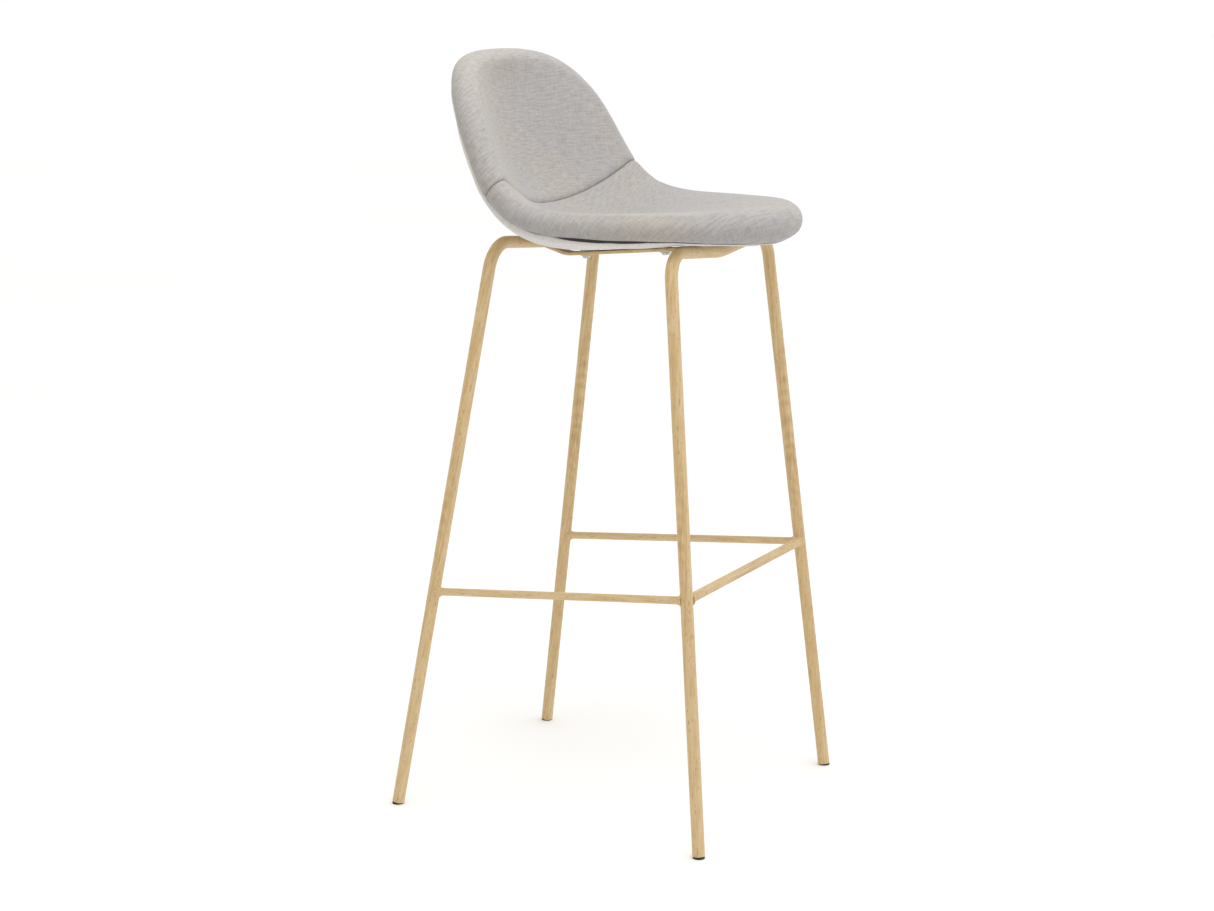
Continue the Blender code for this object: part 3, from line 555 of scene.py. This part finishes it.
def on_loop(loop, angle):
    stations, slopes = loop
    place = np.asarray(angle) / math.pi * (len(RIM) - 1)
    first = np.minimum(place.astype(int), len(RIM) - 2)
    t = (place - first)[..., None]
    a, b = stations[first], stations[first + 1]
    c, d = slopes[first], slopes[first + 1]
    return (a * (1 - t) + b * t + ((1 - t) ** 3 - (1 - t)) * c / 6 + (t ** 3 - t) * d / 6)


def on_disc(across, along):
    p = across * np.sqrt(1 - along ** 2 / 2)
    q = along * np.sqrt(1 - across ** 2 / 2)
    radius = np.minimum(1.0, np.hypot(p, q))
    angle = np.arctan2(q, p)
    angle = angle - SEAM_SLANT * np.cos(angle) * radius ** 2
    return radius * np.cos(angle), radius * np.sin(angle)


def middle_point(p, q):
    q = np.clip(q, -0.99999, 0.99999)
    angle = np.arccos(-q)
    share = np.clip(p / np.sin(angle), -1, 1)
    rim, spine = on_loop(RIM_LOOP, angle), on_loop(SPINE_LOOP, angle)
    rise = np.abs(share) ** DISH_POWER
    return np.stack((
        share * rim[..., 0],
        spine[..., 1] + (rim[..., 1] - spine[..., 1]) * rise,
        SEAT_DATUM + spine[..., 2] + (rim[..., 2] - spine[..., 2]) * rise), axis=-1)


def unit(vectors):
    return vectors / np.maximum(np.linalg.norm(vectors, axis=-1, keepdims=True), 1e-12)


def middle_normal(p, q):
    inner = 1 - 2 * SLOPE_STEP
    shrink = inner / np.maximum(np.hypot(p, q), inner)
    p, q = p * shrink, q * shrink
    side = middle_point(p + SLOPE_STEP, q) - middle_point(p - SLOPE_STEP, q)
    forward = middle_point(p, q + SLOPE_STEP) - middle_point(p, q - SLOPE_STEP)
    return unit(np.cross(forward, side))


def roll_radius(q):
    way = (np.arccos(np.clip(-q, -1, 1)) / math.pi - LIP_START) / (1 - LIP_START)
    way = np.clip(way, 0, 1)
    return SIDE_ROLL + (LIP_ROLL - SIDE_ROLL) * way * way * (3 - 2 * way)


def face_offset(p, q, fill):
    near_rim = np.minimum(1.0, np.hypot(p, q)) ** 4
    share = np.minimum(1.0, np.abs(p) / np.maximum(0.05, np.sqrt(np.maximum(0.0, 1 - q * q))))
    swell = 4 * share ** 2 * (1 - share ** 2) * (1 - q ** 4)
    return PADDING / 2 + (roll_radius(q) - PADDING / 2) * near_rim + fill * swell


def roll_point(p, q, angle, change=0.0):
    length = np.maximum(np.hypot(p, q), 1e-6)
    p, q = p / length, q / length
    cosine, sine = math.cos(SLOPE_STEP), math.sin(SLOPE_STEP)
    ahead = middle_point(p * cosine - q * sine, p * sine + q * cosine)
    behind = middle_point(p * cosine + q * sine, q * cosine - p * sine)
    normal = middle_normal(p, q)
    outward = unit(np.cross(ahead - behind, normal))
    rim = middle_point(p, q)
    inwards = (outward * (rim - middle_point(p * 0.9, q * 0.9))).sum(-1) < 0
    outward[inwards] *= -1
    radius = (roll_radius(q) + change)[..., None]
    angle = np.asarray(angle)[..., None]
    return rim + (outward * np.cos(angle) + normal * np.sin(angle)) * radius


def tuck_angle(q):
    """Where round the roll the covers end."""
    return TUCK_ANGLE + TUCK_DEEPER * np.clip((0.30 - q) / 0.45, 0, 1)


def edge_lift(p, q):
    """The covers' edge is drawn in unevenly, and stands off at one loose place behind the
    right-hand seam end."""
    angle = np.arctan2(q, p)
    uneven = 0.70 + 0.18 * np.sin(9 * angle + 0.5) + 0.12 * np.sin(23 * angle)
    loose = LOOSE_LIFT * np.exp(-((q - LOOSE_PLACE) / LOOSE_WIDTH) ** 2) * (p < 0)
    return loose - TUCK_DIP * uneven


def flat_grid(low, high, columns, rows):
    """A grid that spans low..high in both ways, and its vertices' places on it."""
    deselect()
    bpy.ops.mesh.primitive_grid_add(x_subdivisions=columns, y_subdivisions=rows, size=1.0)
    grid = bpy.context.object
    places = np.empty(len(grid.data.vertices) * 3)
    grid.data.vertices.foreach_get("co", places)
    places = places.reshape(-1, 3)[:, :2] + 0.5
    return grid, np.array(low) + places * (np.array(high) - np.array(low))


def lay(piece, places):
    piece.data.vertices.foreach_set("co", places.astype(np.float32).ravel())
    piece.data.update()


def eased(across):
    return (1 - COLUMN_EASE) * across + COLUMN_EASE * np.sin(across * math.pi / 2)


def puckers(across):
    """Uneven pull of the seam's stitches, about -1 to 1 along the seam."""
    return (np.sin(41 * across + 0.6) + 0.7 * np.sin(67 * across + 2.0)
            + 0.5 * np.sin(113 * across)) / 2.2


def make_cover(seam_first):
    """A panel of cloth over the sitter's face and round the roll, turned in at the seam."""
    if seam_first:
        low, high = SEAM - ALLOWANCE_SHARE, 1 + ROLL_SHARE
    else:
        low, high = -1 - ROLL_SHARE, SEAM + ALLOWANCE_SHARE
    columns = round(2 * (1 + ROLL_SHARE) * HALF_WIDTH / CLOTH_PITCH / 2) * 2
    rows = round((high - low) * HALF_LENGTH / CLOTH_PITCH)
    cover, grid = flat_grid((-1 - ROLL_SHARE, low), (1 + ROLL_SHARE, high), columns, rows)
    across, along = grid[:, 0], grid[:, 1]
    seam_side = 1 if seam_first else -1
    beyond = np.maximum(0.0, (SEAM - along) * seam_side)
    from_seam = np.maximum(0.0, (along - SEAM) * seam_side)
    along = SEAM + seam_side * from_seam
    outside = np.maximum(np.abs(across), np.abs(along))
    over = np.clip((outside - 1) / ROLL_SHARE, 0, 1)
    shrink = 1 / np.maximum(outside, 1)
    p, q = on_disc(eased(across * shrink), along * shrink)
    normal = middle_normal(p, q)
    faces = middle_point(p, q) + normal * face_offset(p, q, CROWN)[:, None]
    turns = math.pi / 2 + (tuck_angle(q) - math.pi / 2) * over
    drawn = np.clip((over - TUCK_DIP_FROM) / (1 - TUCK_DIP_FROM), 0, 1)
    rolled = roll_point(p, q, turns, edge_lift(p, q) * drawn)
    on_roll = over > 0
    places = np.where(on_roll[:, None], rolled, faces)
    core = middle_point(p, q)
    outwards = np.where(on_roll[:, None], unit(rolled - core), normal)
    dip = SEAM_DIP * (1 + 0.30 * puckers(across)) * np.exp(-from_seam / SEAM_DIP_WIDTH)
    depth = dip + ALLOWANCE * beyond / ALLOWANCE_SHARE
    places = places - outwards * depth[:, None]
    lay(cover, places)
    point_outwards(cover)
    pinned = (beyond > 0) | (from_seam < 0.004) | (over > 0.97)
    return cover, places, outwards, pinned


def face_the_right_way(cover, outwards):
    """Turns the whole sheet over if its faces look into the pad."""
    look = np.empty(len(cover.data.vertices) * 3)
    cover.data.vertices.foreach_get("normal", look)
    if (look.reshape(-1, 3) * outwards).sum() < 0:
        pick(cover)
        bpy.ops.object.mode_set(mode="EDIT")
        bpy.ops.mesh.select_all(action="SELECT")
        bpy.ops.mesh.flip_normals()
        bpy.ops.object.mode_set(mode="OBJECT")


def swell(cover, places, outwards, pinned):
    """Blows the cloth up against its pinned edges; it only rises, by SWELL_MOST at most."""
    group = cover.vertex_groups.new(name="sewn")
    group.add([int(index) for index in np.flatnonzero(pinned)], 1.0, "REPLACE")
    cloth = cover.modifiers.new("cloth", "CLOTH")
    settings = cloth.settings
    settings.quality = 5
    settings.vertex_group_mass = "sewn"
    settings.use_pressure = True
    settings.uniform_pressure_force = SWELL_PRESSURE
    settings.effector_weights.gravity = 0.0
    settings.tension_stiffness = 5.0
    settings.compression_stiffness = 5.0
    settings.bending_stiffness = 0.5
    cloth.collision_settings.use_collision = False
    scene = bpy.context.scene
    for step in range(1, SWELL_FRAMES + 1):
        scene.frame_set(step)
    shape = cover.evaluated_get(bpy.context.evaluated_depsgraph_get()).data
    swollen = np.empty(len(shape.vertices) * 3)
    shape.vertices.foreach_get("co", swollen)
    cover.modifiers.remove(cloth)
    scene.frame_set(1)
    risen = ((swollen.reshape(-1, 3) - places) * outwards).sum(1)
    risen = SWELL_MOST * np.tanh(np.maximum(risen, 0.0) / SWELL_MOST)
    lay(cover, places + outwards * risen[:, None])


def cut_out(cover, area):
    """Unwraps the sheet to its flat cut, in metres, with the weft along the seat's width."""
    pick(cover)
    bpy.ops.object.mode_set(mode="EDIT")
    bpy.ops.mesh.select_all(action="SELECT")
    bpy.ops.uv.unwrap(method="CONFORMAL", margin=0.0)
    bpy.ops.object.mode_set(mode="OBJECT")
    layer = cover.data.uv_layers.active.data
    flat = np.empty(len(layer) * 2)
    layer.foreach_get("uv", flat)
    flat = flat.reshape(-1, 2)
    corner_vertices = np.empty(len(layer), int)
    cover.data.loops.foreach_get("vertex_index", corner_vertices)
    places = np.empty(len(cover.data.vertices) * 3)
    cover.data.vertices.foreach_get("co", places)
    width = places.reshape(-1, 3)[corner_vertices, 0]
    centred = flat - flat.mean(0)
    way = np.linalg.lstsq(centred, width - width.mean(), rcond=None)[0]
    way = way / np.linalg.norm(way)
    turned = centred @ np.array(((way[0], -way[1]), (way[1], way[0])))
    flat_area = 0.0
    for polygon in cover.data.polygons:
        ring = turned[polygon.loop_start:polygon.loop_start + polygon.loop_total]
        after = np.roll(ring, -1, 0)
        flat_area += abs((ring[:, 0] * after[:, 1] - ring[:, 1] * after[:, 0]).sum()) / 2
    turned = turned * math.sqrt(area / flat_area)
    layer.foreach_set("uv", turned.ravel())
    return turned.max(0) - turned.min(0)


def surface_area(piece):
    return sum(polygon.area for polygon in piece.data.polygons)


for name, seam_first, cad_node in (
        ("back_panel", False, "back_cover"), ("seat_panel", True, "seat_cover")):
    panel, places, outwards, pinned = make_cover(seam_first)
    face_the_right_way(panel, outwards)
    swell(panel, places, outwards, pinned)
    cut_out(panel, surface_area(panel))
    apply_modifier(panel, "SUBSURF", levels=1, render_levels=1)
    count = len(panel.data.polygons)
    apply_modifier(panel, "SOLIDIFY", thickness=CLOTH_THICKNESS, offset=-1.0)
    settle(name, panel, LINEN, 60.0)
    panel.data.materials.append(INSIDE_SHADE)             # the inside is near black: painted shade, seen only in the crease
    for polygon in panel.data.polygons[count:2 * count]:
        polygon.material_index = 1
    keep(panel, "seat_fabric", cad_node)


def make_lining():
    """The pale cloth that closes the underside: it sinks under the covers' edge all round and
    hangs a little below the seat's sides; painted shade darkens it beside the covers' edge."""
    reach = 1 + LINING_SHARE
    columns = round(2 * reach * HALF_WIDTH / CLOTH_PITCH)
    rows = round(2 * reach * HALF_LENGTH / CLOTH_PITCH)
    lining, grid = flat_grid((-reach, -reach), (reach, reach), columns, rows)
    outside = np.maximum(1.0, np.abs(grid).max(1))
    over = (outside - 1) / LINING_SHARE
    p, q = on_disc(eased(grid[:, 0] / outside), grid[:, 1] / outside)
    normal = middle_normal(p, q)
    rim_angle = np.arctan2(q, p)
    ripple = (np.sin(23 * rim_angle) + 0.6 * np.sin(37 * rim_angle + 1.3)) / 1.6
    slack = LINING_SLACK * (1 + ripple) / 2 * np.hypot(p, q) ** 6
    beside = np.clip((q + 0.42) / 0.30, 0, 1) * np.clip((0.74 - q) / 0.20, 0, 1)
    sag = LINING_SAG * beside * np.clip((np.hypot(p, q) - 0.6) / 0.4, 0, 1)
    offset = face_offset(p, q, BELLY) - slack + sag
    turns = -math.pi / 2 + (LINING_ANGLE + math.pi / 2) * over
    lapped = np.clip((turns - tuck_angle(q) + LINING_STEP) / LINING_STEP, 0, 1)
    rolled = roll_point(p, q, turns, (sag - slack) * (1 - lapped) - LINING_UNDER * lapped)
    places = np.where((over > 0)[:, None], rolled, middle_point(p, q) - normal * offset[:, None])
    lay(lining, places)
    # painted shade: how dark the lining is painted beside the covers' edge, as the crease's
    # shadow
    hem = lining.data.attributes.new("hem", "FLOAT", "POINT")
    width = SHADE_THIN + (SHADE_WIDE - SHADE_THIN) * np.clip((q - 0.12) / 0.25, 0, 1)
    hem.data.foreach_set("value", lapped * width * (1 + SHADE_UNEVEN * ripple) * (over > 0))
    point_outwards(lining)
    face_the_right_way(lining, -normal)
    area = surface_area(lining)
    flat = cut_out(lining, area)
    apply_modifier(lining, "SUBSURF", levels=1, render_levels=1)
    apply_modifier(lining, "SOLIDIFY", thickness=CLOTH_THICKNESS, offset=-1.0)
    settle("underside_lining", lining, LINING, 60.0)
    keep(lining, "lining_fabric", "underside_cover")
    width, length = (float(size) for size in flat)


make_lining()


def make_foam():
    """The moulded pad, a little smaller than the frame's, so that the cloth lies free of it."""
    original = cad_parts["foam_pad"]
    foam = bpy.data.objects.new("foam_core", original.data.copy())
    bpy.context.scene.collection.objects.link(foam)
    point_outwards(foam)
    apply_modifier(foam, "DISPLACE", strength=-FOAM_INSET, mid_level=0.0)
    settle("foam_core", foam, FOAM, 60.0)
    keep(foam, "foam", "foam_pad")


make_foam()


# ---- finishes on the pieces that keep their frame shape --------------------------------------
def refinish(node_name, look):
    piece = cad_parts[node_name]
    piece.data.materials.clear()
    piece.data.materials.append(look)


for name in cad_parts:
    for start, look in (
            ("t_nut", BRIGHT_ZINC), ("frame_bolt", BRIGHT_ZINC), ("nylon", NYLON),
            ("rear_pad", NYLON), ("seat_shell", SHELL_PLASTIC), ("strap", STRAP_OAK)):
        if name.startswith(start):
            refinish(name, look)


# ---- studio -----------------------------------------------------------------------------------
def make_studio():
    deselect()
    bpy.ops.mesh.primitive_plane_add(size=FLOOR_SIZE)
    floor = bpy.context.object
    floor.name = "studio_floor"
    floor.data.materials.append(studio_floor())
    world = bpy.data.worlds.new("studio")
    bpy.context.scene.world = world
    world.use_nodes = True
    tree = world.node_tree
    # white walls all round: bright and neutral on one side, dimmer and warmer on the other
    way = node(tree, "TexCoord").outputs["Generated"]
    turned = node(tree, "VectorMath", {"operation": "DOT_PRODUCT"}, i0=way, i1=BRIGHT_SIDE)
    share = node(tree, "MapRange", Value=turned.outputs["Value"], From_Min=-1.0, From_Max=1.0)
    colour = node(tree, "Mix", {"data_type": "RGBA"}, Factor=share.outputs[0], i6=DIM_WALL,
                  i7=BRIGHT_WALL)
    tree.links.new(colour.outputs["Result"], tree.nodes["Background"].inputs["Color"])
    bpy.ops.object.light_add(type="AREA", location=LAMP_PLACE)
    lamp = bpy.context.object
    lamp.name = "over_the_seat"
    lamp.data.size = LAMP_SIZE
    lamp.data.energy = LAMP_WATTS
    shining = Vector(LAMP_AIM) - Vector(LAMP_PLACE)
    lamp.rotation_euler = shining.to_track_quat("-Z", "Y").to_euler()


def make_camera():
    bpy.ops.object.camera_add(
        location=CAMERA_PLACE, rotation=[math.radians(turn) for turn in CAMERA_TURN])
    camera = bpy.context.object
    camera.data.lens = CAMERA_LENS
    camera.data.sensor_width = 36.0
    bpy.context.scene.camera = camera


make_studio()
make_camera()
bpy.context.scene.view_settings.view_transform = "Standard"
